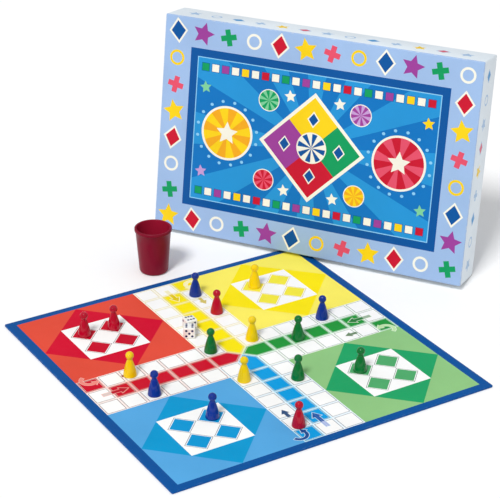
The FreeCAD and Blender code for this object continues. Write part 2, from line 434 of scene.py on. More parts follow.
class Bench:
    """One mesh object in the making, shaped with operators. Lengths are in mm."""

    def __init__(self, name: str) -> None:
        """Take the object that an operator has just added, with its place and scale applied.

        Args:
            name: The piece's name.
        """
        self.obj = bpy.context.object
        self.obj.name = self.obj.data.name = name
        bpy.ops.object.transform_apply(location=True, rotation=True, scale=True)

    @staticmethod
    def clear() -> None:
        """Leave edit mode and deselect everything."""
        if bpy.context.object is not None and bpy.context.object.mode != "OBJECT":
            bpy.ops.object.mode_set(mode="OBJECT")
        bpy.ops.object.select_all(action="DESELECT")

    @classmethod
    def sheet(cls, name: str, low: Point, high: Point, z: float = 0.0, columns: int = 1,
              rows: int = 1) -> "Bench":
        """Start from a flat grid of faces that look up.

        Args:
            name: The piece's name.
            low: Lower corner in X and Y.
            high: Upper corner in X and Y.
            z: Its height.
            columns: Faces along X.
            rows: Faces along Y.

        Returns:
            The new bench.
        """
        cls.clear()
        middle = Vector(((low[0] + high[0]) / 2, (low[1] + high[1]) / 2, z)) * MM
        bpy.ops.mesh.primitive_grid_add(x_subdivisions=columns, y_subdivisions=rows, size=1, location=middle)
        bpy.context.object.scale = ((high[0] - low[0]) * MM, (high[1] - low[1]) * MM, 1)
        return cls(name)

    @classmethod
    def block(cls, name: str, low: Point, high: Point) -> "Bench":
        """Start from a block between two corners.

        Args:
            name: The piece's name.
            low: Lower corner.
            high: Upper corner.

        Returns:
            The new bench.
        """
        cls.clear()
        low, high = Vector(low) * MM, Vector(high) * MM
        bpy.ops.mesh.primitive_cube_add(size=1, location=(low + high) / 2, scale=high - low)
        return cls(name)

    @classmethod
    def disc(cls, name: str, radius: float, corners: int, fill: str = "NGON") -> "Bench":
        """Start from a flat polygon about the origin that looks up.

        Args:
            name: The piece's name.
            radius: From its middle to a corner.
            corners: How many.
            fill: How the circle is filled.

        Returns:
            The new bench.
        """
        cls.clear()
        bpy.ops.mesh.primitive_circle_add(vertices=corners, radius=radius * MM, fill_type=fill)
        return cls(name)

    @classmethod
    def turned(cls, name: str, outline: Outline, steps: int = 48) -> "Bench":
        """Draw an outline from one vertex and spin it about Z.

        Args:
            name: The piece's name.
            outline: Radius and height of each point.
            steps: Faces round the piece.

        Returns:
            The new bench, closed and facing outwards.
        """
        (r0, z0) = outline[0]
        bench = cls.sheet(name, (r0 - 1, -1), (r0 + 1, 1), z0)
        bench.pick(every)
        bpy.ops.mesh.merge(type="CENTER")
        bpy.ops.mesh.select_mode(type="VERT")
        bpy.ops.mesh.select_all(action="SELECT")
        for (ra, za), (rb, zb) in zip(outline, outline[1:]):
            bench.extrude((rb - ra, 0, zb - za))
        bpy.ops.mesh.select_all(action="SELECT")
        bpy.ops.mesh.spin(steps=steps, angle=math.tau, center=(0, 0, 0), axis=(0, 0, 1))
        bench.tidy()
        return bench

    def only(self) -> None:
        """Make this object the selected and active one, in object mode."""
        self.clear()
        self.obj.select_set(True)
        bpy.context.view_layer.objects.active = self.obj

    def edit(self) -> None:
        """Enter edit mode on this object."""
        if bpy.context.object is not self.obj or self.obj.mode != "EDIT":
            self.only()
            bpy.ops.object.mode_set(mode="EDIT")

    def choose(self, mode: str, test: Callable[[object], bool]) -> None:
        """Select the faces, edges or vertices that pass a test.

        Args:
            mode: FACE, EDGE or VERT.
            test: Takes one of them.
        """
        self.edit()
        bpy.ops.mesh.select_mode(type=mode)
        bpy.ops.mesh.select_all(action="DESELECT")
        mesh = bmesh.from_edit_mesh(self.obj.data)
        for part in {"FACE": mesh.faces, "EDGE": mesh.edges, "VERT": mesh.verts}[mode]:
            if test(part):
                part.select_set(True)
        bmesh.update_edit_mesh(self.obj.data)

    def pick(self, test: PairTest) -> None:
        """Select the faces whose middle, in mm, and normal pass a test."""
        self.choose("FACE", lambda face: test(face.calc_center_median_weighted() / MM, face.normal))

    def pick_edges(self, test: PairTest) -> None:
        """Select the edges whose two ends, in mm, pass a test."""
        self.choose("EDGE", lambda edge: test(edge.verts[0].co / MM, edge.verts[1].co / MM))

    def pick_corners(self, test: Callable[[Vector], bool]) -> None:
        """Select the vertices whose place, in mm, passes a test."""
        self.choose("VERT", lambda corner: test(corner.co / MM))

    def paint(self, slot: int, test: Optional[PairTest] = None) -> None:
        """Give a material slot to the faces that pass a test, or to the selected ones.

        Args:
            slot: The slot's number.
            test: Which faces, or None for the selected ones.
        """
        if test is not None:
            self.pick(test)
        mesh = bmesh.from_edit_mesh(self.obj.data)
        for face in mesh.faces:
            if face.select:
                face.material_index = slot
        bmesh.update_edit_mesh(self.obj.data)

    def cut(self, point: Point, normal: Point, test: Optional[PairTest] = None, drop: bool = False,
            fill: bool = False) -> None:
        """Cut faces along a plane.

        Args:
            point: A point of the plane.
            normal: The plane's normal.
            test: Which faces are cut, or all of them.
            drop: Delete what lies on the normal's side.
            fill: Close the cut.
        """
        self.pick(test or every)
        bpy.ops.mesh.bisect(plane_co=Vector(point) * MM, plane_no=normal, clear_outer=drop, use_fill=fill,
                            threshold=CUT_GAP)

    def drop(self, test: PairTest) -> None:
        """Delete the faces that pass a test."""
        self.pick(test)
        bpy.ops.mesh.delete(type="FACE")

    def fuse(self, test: PairTest) -> None:
        """Dissolve the faces that pass a test into one."""
        self.pick(test)
        bpy.ops.mesh.dissolve_faces()

    def inset(self, width: float, together: bool = False) -> None:
        """Inset the selected faces, one by one or as one region."""
        bpy.ops.mesh.inset(thickness=width * MM, depth=0, use_individual=not together, use_even_offset=True)

    def extrude(self, step: Point) -> None:
        """Extrude what is selected."""
        bpy.ops.mesh.extrude_region_move(TRANSFORM_OT_translate={"value": Vector(step) * MM})

    def resize(self, factor: Point, about: Point = (0, 0, 0)) -> None:
        """Scale what is selected about a point."""
        bpy.ops.transform.resize(value=factor, center_override=Vector(about) * MM)

    def bevel(self, width: float, segments: int = 2) -> None:
        """Round the selected edges."""
        bpy.ops.mesh.bevel(offset=width * MM, segments=segments, affect="EDGES")

    def weld(self) -> None:
        """Merge corners that meet."""
        self.edit()
        bpy.ops.mesh.select_all(action="SELECT")
        bpy.ops.mesh.remove_doubles(threshold=WELD_GAP)

    def tidy(self) -> None:
        """Merge corners that meet and turn all faces outwards."""
        self.weld()
        bpy.ops.mesh.normals_make_consistent(inside=False)

    def face_up(self) -> None:
        """Turn the faces of a flat sheet that look down."""
        self.pick(lambda middle, normal: normal.z < 0)
        bpy.ops.mesh.flip_normals()

    def modify(self, kind: str, **settings: object) -> None:
        """Add a modifier, set it and apply it.

        Args:
            kind: The modifier's type.
            **settings: Its properties.
        """
        self.only()
        modifier = self.obj.modifiers.new(kind.lower(), kind)
        for key, value in settings.items():
            setattr(modifier, key, value)
        bpy.ops.object.modifier_apply(modifier=modifier.name)

    def thicken(self, depth: float, inwards: bool = True) -> None:
        """Give a sheet its thickness."""
        self.modify("SOLIDIFY", thickness=depth * MM, offset=-1.0 if inwards else 1.0, use_even_offset=True)

    def smooth(self, angle: float = 35.0) -> None:
        """Shade smooth, with edges sharper than an angle kept crisp."""
        self.only()
        bpy.ops.object.shade_smooth_by_angle(angle=math.radians(angle))

    def copy(self, name: str) -> "Bench":
        """Copy the piece with a mesh of its own.

        Args:
            name: The copy's name.

        Returns:
            The copy.
        """
        self.only()
        bpy.ops.object.duplicate(linked=False)
        return Bench(name)

    def place(self, matrix: Matrix) -> "Bench":
        """Move the piece and put its place into its mesh.

        Args:
            matrix: Where it goes.

        Returns:
            This bench.
        """
        self.only()
        self.obj.matrix_world = matrix
        bpy.ops.object.transform_apply(location=True, rotation=True, scale=True)
        return self

    def join(self, others: Sequence["Bench"]) -> None:
        """Join other pieces into this one.

        Args:
            others: The pieces that are taken in.
        """
        self.only()
        for other in others:
            other.obj.select_set(True)
        bpy.ops.object.join()

    def dress(self, finishes: Sequence[Finish]) -> "Bench":
        """Fill the material slots in order, with the faces' slot numbers kept.

        Args:
            finishes: One for each slot.

        Returns:
            This bench.
        """
        held = self.obj.data.materials
        for k, finish in enumerate(finishes):
            if k < len(held):
                held[k] = FinishBench.get(finish)
            else:
                held.append(FinishBench.get(finish))
        return self

    def hand_over(self, body: str, slot: str, *nodes: str) -> None:
        """Seat the finished piece on a body.

        Args:
            body: The body it rides on.
            slot: The record's material slot; not used.
            *nodes: The CAD nodes that it stands for.
        """
        self.only()
        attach(self.obj, body)
        if nodes:
            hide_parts(*nodes)
        log.info("%s rides on %s, %d faces", self.obj.name, body, len(self.obj.data.polygons))


def dress_node(node: str, finish: Finish) -> None:
    """Give a CAD node that stays a better material.

    Args:
        node: The node's name.
        finish: Its new finish.
    """
    obj = frame["nodes"][node]
    if not obj.material_slots:
        obj.data.materials.append(None)
    for place in obj.material_slots:
        place.material = FinishBench.get(finish)
    log.info("%s keeps its CAD shape", node)


def arc(centre: Point, radius: float, start: float, end: float, count: int) -> Outline:
    """Points along an arc, angles in degrees, both ends included."""
    angles = [math.radians(start + (end - start) * k / count) for k in range(count + 1)]
    return [(centre[0] + radius * math.cos(a), centre[1] + radius * math.sin(a)) for a in angles]


def moved(x: float, y: float, z: float = 0.0, turn: float = 0.0, size: float = 1.0) -> Matrix:
    """A place in mm, a turn about Z in degrees and a size, as a matrix."""
    return (Matrix.Translation(Vector((x, y, z)) * MM) @ Matrix.Rotation(math.radians(turn), 4, "Z")
            @ Matrix.Scale(size, 4))


# The folding board

class Player(Enum):
    """The four players, in the order in which the board turns."""

    RED = 0
    YELLOW = 1
    GREEN = 2
    BLUE = 3


class Ground(Enum):
    """The printed areas of one player's quarter of the board, by material slot."""

    PAPER = 0
    MARGIN = 1
    LINE = 2
    TINT = 3
    HOME = 4
    YARD = 5
    DIAMOND = 6
    SQUARE = 7
    RIM = 8
    POINT = 9
    START = 10
    TAIL = 11
    TRACK = 12


@dataclass(frozen=True)
class QuarterInks:
    """One player's inks."""

    margin: str
    line: str
    tint: str
    home: str
    yard: str
    diamond: str
    square: str
    rim: str
    point: str
    start: str
    tail: str
    track: str

    def finishes(self, player: Player, paper: PrintedPaper) -> list[PrintedPaper]:
        """The finishes of this player's quarter, in slot order.

        Args:
            player: Whose quarter.
            paper: The unprinted paper's finish.

        Returns:
            One finish for each slot.
        """
        words = [ground.name.lower() for ground in Ground if ground is not Ground.PAPER]
        name = player.name.lower()
        return [paper] + [PrintedPaper(f"{name}_{word}_ink", getattr(self, word)) for word in words]


QUARTER_INKS = {
    Player.RED: QuarterInks("FBEDE8", "54201E", "F6B8B0", "CC0828", "E24E3A", "D2042E", "C8062A",
                            "F7B7AC", "BC1028", "F08C80", "DCC8C2", "A86A62"),
    Player.YELLOW: QuarterInks("FEFCEE", "D2BC50", "FCF29C", "FCE800", "FEF062", "FEE800", "F6EA40",
                               "FFFBE2", "E6C800", "FFF7B8", "F2ECC0", "D8C468"),
    Player.GREEN: QuarterInks("F4FAF2", "54705A", "CDEFD2", "219638", "8FC581", "1FA263", "50AA6A",
                              "EAF7E0", "2C7C3A", "BFE3A8", "9DB59A", "6F8C6A"),
    Player.BLUE: QuarterInks("EEF8FD", "45596C", "BDE8FB", "029CE0", "55A7E0", "0098D0", "0297D4",
                             "D5ECF9", "2B57A2", "1F4F93", "A9B8E4", "31517C"),
}


@dataclass
class PrintedLabel:
    """The printed label: one quarter modelled, copied for each player, and parted at the crease.

    Lengths are in mm and angles in degrees. Runs, seats and the bend's radius are in cells.
    """

    cell: float = 22.0
    top: float = 2.2
    thick: float = 0.2
    margin: float = 1.2
    line: float = 0.5
    tint: float = 0.5
    square_side: float = 18.7
    square_ring: float = 1.35
    ink_t: float = 0.02
    rim: float = 0.55
    crease: float = 0.12
    home_arrow_w: float = 4.4
    track_arrow_w: float = 3.8
    home_run: tuple[float, float] = (0.55, 1.78)
    track_run: tuple[float, float] = (1.98, 2.62)
    head_long: float = 1.9
    head_half: float = 1.15
    bend_seat: tuple[float, float] = (6.08, 0.6)
    bend_r: float = 0.34
    bend_half: float = 1.7
    bend_tail: float = 0.4
    bend_start: float = 120.0
    bend_sweep: float = 168.0
    bend_head: tuple[float, float] = (6.0, 3.6)

    def seat(self, i: float, j: float) -> Vector:
        """A place on the board from its row and column in the photograph's order."""
        return Vector(((j - 7.5) * self.cell, (7.5 - i) * self.cell, self.top))

    def row(self, middle: Vector) -> tuple[float, float]:
        """The row and column of a place."""
        return 7.5 - middle.y / self.cell, middle.x / self.cell + 7.5

    def within(self, i0: float, i1: float, j0: float, j1: float) -> PairTest:
        """A test for faces inside a span of rows and columns.

        Args:
            i0: First row.
            i1: Last row.
            j0: First column.
            j1: Last column.

        Returns:
            The test.
        """
        def test(middle: Vector, normal: Vector) -> bool:
            """Whether a face lies in the span."""
            i, j = self.row(middle)
            return i0 < i < i1 and j0 < j < j1
        return test

    def quarter(self) -> Bench:
        """Model the red quarter: yard, arm, corner cell and the wedge into the middle.

        Returns:
            The quarter, a flat sheet with its faces in the slots of Ground.
        """
        low, high = self.seat(9, 0), self.seat(0, 8)
        bench = Bench.sheet("label_quarter", low[:2], high[:2], self.top, 8, 9)
        for area in ((0, 6, 6, 8), (6, 7, 7, 8), (8, 9, 6, 8)):
            bench.drop(self.within(*area))
        self.yard(bench)
        self.arm(bench)
        return bench

    def yard(self, bench: Bench) -> None:
        """Part the yard into its ground, diamond, white square and four small squares.

        Args:
            bench: The sheet to part.
        """
        yard = self.within(0, 6, 0, 6)
        heart = self.seat(3, 3)
        reach = 1.5 * self.cell
        bench.fuse(yard)
        bench.paint(Ground.YARD.value, yard)
        for sx, sy in ((1, 1), (1, -1), (-1, 1), (-1, -1)):
            bench.cut(heart + Vector((2 * reach * sx, 0, 0)), (sx, sy, 0), yard)

        def inside(middle: Vector, normal: Vector) -> bool:
            """Whether a face lies round the yard's middle."""
            off = middle - heart
            return max(abs(off.x), abs(off.y)) < 1.4 * self.cell

        bench.paint(Ground.DIAMOND.value, inside)
        for way in ((1, 0, 0), (-1, 0, 0), (0, 1, 0), (0, -1, 0)):
            bench.cut(heart + Vector(way) * reach, way, inside)
        bench.paint(Ground.PAPER.value, inside)
        self.small_squares(bench, heart)

    def small_squares(self, bench: Bench, heart: Vector) -> None:
        """Part the white square for four small squares set cornerwise, each in a fine outline.

        Args:
            bench: The sheet to part.
            heart: The yard's middle.
        """
        half = self.square_side / 2 + self.square_ring
        near, far = self.cell - half, self.cell + half
        slant = math.sqrt(0.5)
        across, along = Vector((slant, slant, 0)), Vector((slant, -slant, 0))

        def strip(p0: float, p1: float, q0: float = -99.0, q1: float = 99.0) -> PairTest:
            """A test for faces of the white square between two lines each way.

            Args:
                p0: First line across.
                p1: Last line across.
                q0: First line along.
                q1: Last line along.

            Returns:
                The test.
            """
            def test(middle: Vector, normal: Vector) -> bool:
                """Whether a face lies between the lines.

                Args:
                    middle: The face's middle.
                    normal: Its normal.

                Returns:
                    True if it does.
                """
                off = middle - heart
                white = max(abs(off.x), abs(off.y)) < 1.5 * self.cell
                return white and p0 < off.dot(across) < p1 and q0 < off.dot(along) < q1
            return test

        for p in (half, -half):
            bench.cut(heart + across * p, across, strip(-99, 99))
        for q in (near, far, -near, -far):
            bench.cut(heart + along * q, along, strip(-half, half))
        for side in (1, -1):
            span = sorted((side * half, side * 99))
            for p in (near, far):
                bench.cut(heart + across * (side * p), across, strip(*span))
            box = sorted((side * near, side * far))
            for q in (half, -half):
                bench.cut(heart + along * q, along, strip(*box))
        tests = [strip(*sorted((s * near, s * far)), -half, half) for s in (1, -1)]
        tests += [strip(-half, half, *sorted((s * near, s * far))) for s in (1, -1)]
        bench.pick(lambda middle, normal: any(test(middle, normal) for test in tests))
        bench.paint(Ground.LINE.value)
        bench.inset(self.line)
        bench.paint(Ground.PAPER.value)
        bench.inset(self.square_ring - self.line)
        bench.paint(Ground.SQUARE.value)

    def arm(self, bench: Bench) -> None:
        """Part the arm into outlined cells, the filled start and home cells and the wedge into the middle.

        Args:
            bench: The sheet to part.
        """
        heart = self.seat(7.5, 7.5)
        middle_cell = self.within(7, 8, 7, 8)
        for way in ((1, 1, 0), (1, -1, 0)):
            bench.cut(heart, way, middle_cell)
        bench.drop(self.within(7, 8, 7.4, 8))
        bench.fuse(self.within(7, 8, 6, 8))
        arm = self.within(6, 9, 0, 8)
        edge = (self.margin + self.line) / self.cell
        cells = [(6, 0)] + [(7, k) for k in range(1, 6)]

        def filled(middle: Vector, normal: Vector) -> bool:
            """Whether a face is in the wedge or a filled cell.

            Args:
                middle: The face's middle.
                normal: Its normal.

            Returns:
                True if it is.
            """
            i, j = self.row(middle)
            wedge = 7.4 < i < 7.6 and 6.2 < j < 7.2
            room = 0.5 - edge
            return wedge or any(abs(i - a - 0.5) < room and abs(j - b - 0.5) < room for a, b in cells)

        bench.paint(Ground.MARGIN.value, arm)
        bench.paint(Ground.TINT.value, filled)
        bench.pick(arm)
        bench.inset(self.margin)
        bench.paint(Ground.LINE.value)
        bench.inset(self.line)
        bench.paint(Ground.PAPER.value)
        bench.paint(Ground.TINT.value, filled)
        bench.inset(self.tint)
        bench.paint(Ground.HOME.value)

    def arrow_head(self, length: float, half: float, grow: float, ground: Ground) -> Bench:
        """Model a three-cornered head that points along X, its foot at the origin.

        Args:
            length: From foot to tip.
            half: Half its width at the foot.
            grow: How much wider it is all round.
            ground: Its ink.

        Returns:
            The head.
        """
        point = Bench.disc("arrow_head", 1.0, 3)
        point.place(Matrix.Translation((0.5 * MM, 0, 0)) @ Matrix.Rotation(math.radians(-90), 4, "Z"))
        long, wide = length + 3.2 * grow, half + 2.0 * grow
        point.place(Matrix.Translation((-grow * MM, 0, 0))
                    @ Matrix.Diagonal((long / 1.5, wide / math.sin(math.radians(60)), 1, 1)))
        point.paint(ground.value, every)
        return point

    def straight_arrow(self, tail: Vector, tip: Vector, width: float, grow: float, grounds: Sequence[Ground],
                       lift: int) -> list[Bench]:
        """Model a straight arrow: a shaft whose far end may have another ink, and a head.

        Args:
            tail: Where it starts.
            tip: Where it points to.
            width: The shaft's width.
            grow: How much wider it is all round.
            grounds: Inks of its tail, its shaft and its head.
            lift: How many layers of ink lie under it.

        Returns:
            Its shaft and its head.
        """
        span = tip - tail
        head, half = self.head_long * width, self.head_half * width
        shaft = span.length - head - grow
        place = moved(tail.x, tail.y, self.top + lift * self.ink_t, math.degrees(math.atan2(span.y, span.x)))
        bar = Bench.sheet("arrow_bar", (-grow, -width / 2 - grow), (shaft, width / 2 + grow), 0, 4, 1)
        bar.paint(grounds[1].value, every)
        bar.paint(grounds[0].value, lambda middle, normal: middle.x < 0.5 * shaft)
        point = self.arrow_head(head, half, grow, grounds[2])
        point.place(Matrix.Translation(((shaft + grow) * MM, 0, 0)))
        return [bar.place(place), point.place(place)]

    def curved_arrow(self, grow: float, ground: Ground, lift: int) -> list[Bench]:
        """Model the arrow that bends from the yard into the start cell.

        Args:
            grow: How much wider it is all round.
            ground: Its ink.
            lift: How many layers of ink lie under it.

        Returns:
            Its bent shaft and its head.
        """
        pivot = self.seat(*self.bend_seat)
        radius, half, sweep = self.bend_r * self.cell, self.bend_half + grow, self.bend_sweep
        bar = Bench.sheet("bend_bar", (radius - half, -self.bend_tail - grow), (radius + half, 0))
        bar.pick_edges(lambda a, b: min(a.y, b.y) > -NEAR)
        bpy.ops.mesh.spin(steps=18, angle=-math.radians(sweep), center=(0, 0, 0), axis=(0, 0, 1))
        bar.weld()
        bar.paint(ground.value, every)
        head = self.arrow_head(*self.bend_head, grow, ground)
        end = math.radians(sweep)
        head.place(moved(radius * math.cos(end), radius * math.sin(end), 0, sweep + 90))
        place = moved(pivot.x, pivot.y, self.top + lift * self.ink_t, self.bend_start)
        return [bar.place(place), head.place(place)]

    def marks(self, inks: Sequence[Finish]) -> Bench:
        """Model the quarter's arrows as two layers of ink, pale outlines under darker shapes.

        Args:
            inks: The quarter's finishes in slot order.

        Returns:
            The arrows, flat sheets.
        """
        pieces = self.curved_arrow(self.rim, Ground.RIM, 0) + self.curved_arrow(0.0, Ground.START, 1)
        home = [self.seat(7.5, column) for column in self.home_run]
        pieces += self.straight_arrow(*home, self.home_arrow_w, self.rim, (Ground.RIM,) * 3, 0)
        pieces += self.straight_arrow(*home, self.home_arrow_w, 0.0, (Ground.TAIL, Ground.POINT, Ground.POINT), 1)
        track = [self.seat(6.5, column) for column in self.track_run]
        pieces += self.straight_arrow(*track, self.track_arrow_w, 0.0, (Ground.TRACK,) * 3, 0)
        for piece in pieces:
            piece.dress(inks)
            piece.face_up()
        first, *rest = pieces
        first.join(rest)
        first.obj.name = "label_arrows"
        return first

    def build(self) -> None:
        """Copy the quarter for each player, part the label at the crease and hand both halves over."""
        paper = PrintedPaper("label_paper", "FCFCFA")
        sheets, layers = [], []
        first = QUARTER_INKS[Player.RED].finishes(Player.RED, paper)
        for model, held in ((self.quarter().dress(first), sheets), (self.marks(first), layers)):
            for player in Player:
                turned = model.copy(f"{model.obj.name}_{player.name.lower()}")
                turned.dress(QUARTER_INKS[player].finishes(player, paper))
                held.append(turned.place(Matrix.Rotation(math.radians(-90 * player.value), 4, "Z")))
            bpy.data.objects.remove(model.obj)
        for held in (sheets, layers):
            held[0].join(held[1:])
            held[0].weld()
        sheets[0].thicken(self.thick)
        layers[0].thicken(self.ink_t, inwards=False)
        for side, name in ((1, "left"), (-1, "right")):
            half = sheets[0].copy("label_print_" + name)
            half.cut((0, 0, 0), (side, 0, 0), drop=True, fill=True)
            half.cut((-side * self.crease, 0, 0), (side, 0, 0))
            half.pick_corners(lambda corner: abs(corner.x) < 0.001 and corner.z > self.top - NEAR)
            bpy.ops.transform.translate(value=(0, 0, -self.crease / 2 * MM))
            ink = layers[0].copy("label_ink_" + name)
            ink.cut((-side * self.crease, 0, 0), (side, 0, 0), drop=True, fill=True)
            half.join([ink])
            half.hand_over("board_" + name, "board_print", "board_label_" + name)
        for bench in (sheets[0], layers[0]):
            bpy.data.objects.remove(bench.obj)


@dataclass
class FoldingBoard:
    """The board's two halves: greyboard cores, paper wraps with the turned-in border, and the label."""

    half: float = 175.0
    half_end: float = 173.0
    label_half: float = 165.0
    height: float = 2.2
    wrap_t: float = 0.2
    corner_r: float = 1.2
    fold_r: float = 0.45
    mitre: float = 0.25
    mitre_sink: float = 0.12
    rub: tuple[float, float, float] = (0.5, 0.5, 0.3)

    def wrap(self, name: str, side: int, paper: Finish) -> None:
        """Model one half's paper: the back, the edges and the border turned in on top with mitred corners.

        Args:
            name: left or right.
            side: -1 for the left half, 1 for the right.
            paper: The finish.
        """
        x0, x1 = sorted((0.0, side * self.half))
        bench = Bench.block("border_wrap_" + name, (x0, -self.half_end, 0), (x1, self.half_end, self.height))
        outer = side * self.half
        bench.pick_edges(lambda a, b: max(abs(a.x - outer), abs(b.x - outer), abs(a.y - b.y)) < NEAR)
        bench.bevel(self.corner_r, 4)

        def rim(a: Vector, b: Vector) -> bool:
            """Whether an edge lies level, away from the crease."""
            flat = abs(a.z - b.z) < NEAR
            return flat and not (abs(a.x) < NEAR and abs(b.x) < NEAR)

        bench.pick_edges(rim)
        bench.bevel(self.fold_r, 3)
        bench.drop(lambda middle, normal: abs(middle.x) < NEAR)

        def top(middle: Vector, normal: Vector) -> bool:
            """Whether a face looks up."""
            return normal.z > LEVEL

        for point, way in (((side * self.label_half, 0, 0), (side, 0, 0)),
                           ((0, self.label_half, 0), (0, 1, 0)), ((0, -self.label_half, 0), (0, -1, 0))):
            bench.cut(point, way, top)
        edge = self.label_half
        bench.drop(lambda middle, normal: top(middle, normal) and max(abs(middle.x), abs(middle.y)) < edge)
        self.mitres(bench, side)
        bench.thicken(self.wrap_t)
        bench.smooth(40)
        bench.dress([paper])
        bench.hand_over("board_" + name, "border_paper", "board_wrap_" + name)

    def mitres(self, bench: Bench, side: int) -> None:
        """Crease the turned-in paper along the slanting joint at both outer corners.

        Args:
            bench: The half's paper.
            side: -1 for the left half, 1 for the right.
        """
        for end in (1, -1):
            def corner(middle: Vector, normal: Vector) -> bool:
                """Whether a face is on top at this outer corner."""
                far = side * middle.x > self.label_half - 1 and end * middle.y > self.label_half - 1
                return normal.z > LEVEL and far
            joint = (side * self.half, end * self.half_end, self.height)
            bench.cut(joint, (end, -side, 0), corner)

            def seam(a: Vector, b: Vector) -> bool:
                """Whether an edge is of the slanting joint.

                Args:
                    a: One end.
                    b: The other end.

                Returns:
                    True if it is.
                """
                off = [abs(end * p.y - self.half_end - side * p.x + self.half) for p in (a, b)]
                on = max(off) < 2 * NEAR and min(a.z, b.z) > self.height - NEAR
                return on and (a - b).length > 2
            bench.pick_edges(seam)
            bench.bevel(self.mitre, 2)
            bench.pick_edges(seam)
            bpy.ops.transform.translate(value=(0, 0, -self.mitre_sink * MM))

    def build(self) -> None:
        """Build both wraps and the label, and dress the cores."""
        half = tuple(size * MM for size in (self.half, self.half_end, self.height / 2))
        zone = RubZone((0, 0, half[2]), half, tuple(size * MM for size in self.rub))
        paper = PrintedPaper("border_blue", "025098", gloss=0.42, wear=zone, bare="7F9CC0")
        core = RawBoard("board_greyboard", "9A958B")
        for name, side in (("left", -1), ("right", 1)):
            self.wrap(name, side, paper)
            dress_node("board_core_" + name, core)
        PrintedLabel().build()


# The men, dice and cup

@dataclass
class PlayingMen:
    """Sixteen moulded men, one modelled and copied to each place."""

    height: float = 26.0
    base_r: float = 6.7
    head_r: float = 4.0
    neck_r: float = 2.6
    neck_len: float = 1.7
    bulge: float = 0.5
    foot: float = 0.8
    hollow_r: float = 5.3
    hollow_h: float = 12.0
    tip_r: float = 1.2
    facets: int = 56
    turn_step: float = 37.0
    pigments: ClassVar[dict[Player, str]] = {
        Player.RED: "B40026", Player.YELLOW: "F4CE00", Player.GREEN: "006E2E", Player.BLUE: "062E8C"}

    def outline(self) -> Outline:
        """The man's profile, from the top of its hollow round its foot to the top of its head.

        Returns:
            Radius and height of each point.
        """
        head_z = self.height - self.head_r
        drop = math.sqrt(self.head_r ** 2 - self.neck_r ** 2)
        neck_top = head_z - drop
        shoulder = neck_top - self.neck_len
        points = [(0.0, self.hollow_h), (self.tip_r * 0.7, self.hollow_h), (self.tip_r, self.hollow_h - 0.5)]
        points += [(self.hollow_r, 0.25), (self.hollow_r + 0.2, 0.0)]
        points += arc((self.base_r - self.foot, self.foot), self.foot, -90, 0, 5)
        rise, run = shoulder - self.foot, self.base_r - self.neck_r
        slope = math.hypot(rise, run)
        for k in range(1, 17):
            t = k / 16
            swell = 4 * self.bulge * t * (1 - t)
            out, up = swell * rise / slope, swell * run / slope
            points.append((self.base_r - run * t + out, self.foot + rise * t + up))
        points.append((self.neck_r - 0.08, shoulder + 0.45 * self.neck_len))
        points.append((self.neck_r - 0.04, neck_top - 0.3))
        start = -math.degrees(math.asin(drop / self.head_r))
        points += arc((0.0, head_z), self.head_r, start, 90, 18)[:-1]
        return points + [(0.0, self.height)]

    def build(self) -> None:
        """Model one man and stand a copy in each place."""
        model = Bench.turned("man_model", self.outline(), self.facets)
        model.smooth(50)
        for player, pigment in self.pigments.items():
            word = player.name.lower()
            finish = MouldedPlastic(word + "_man_plastic", pigment)
            for number in range(1, 5):
                node = f"man_{word}_{number}"
                low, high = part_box(node)
                man = model.copy(f"moulded_man_{word}_{number}")
                middle = (low + high) / 2 / MM
                man.place(moved(middle.x, middle.y, low.z / MM, self.turn_step * number))
                man.dress([finish])
                man.hand_over(node, word + "_plastic", node)
        bpy.data.objects.remove(model.obj)


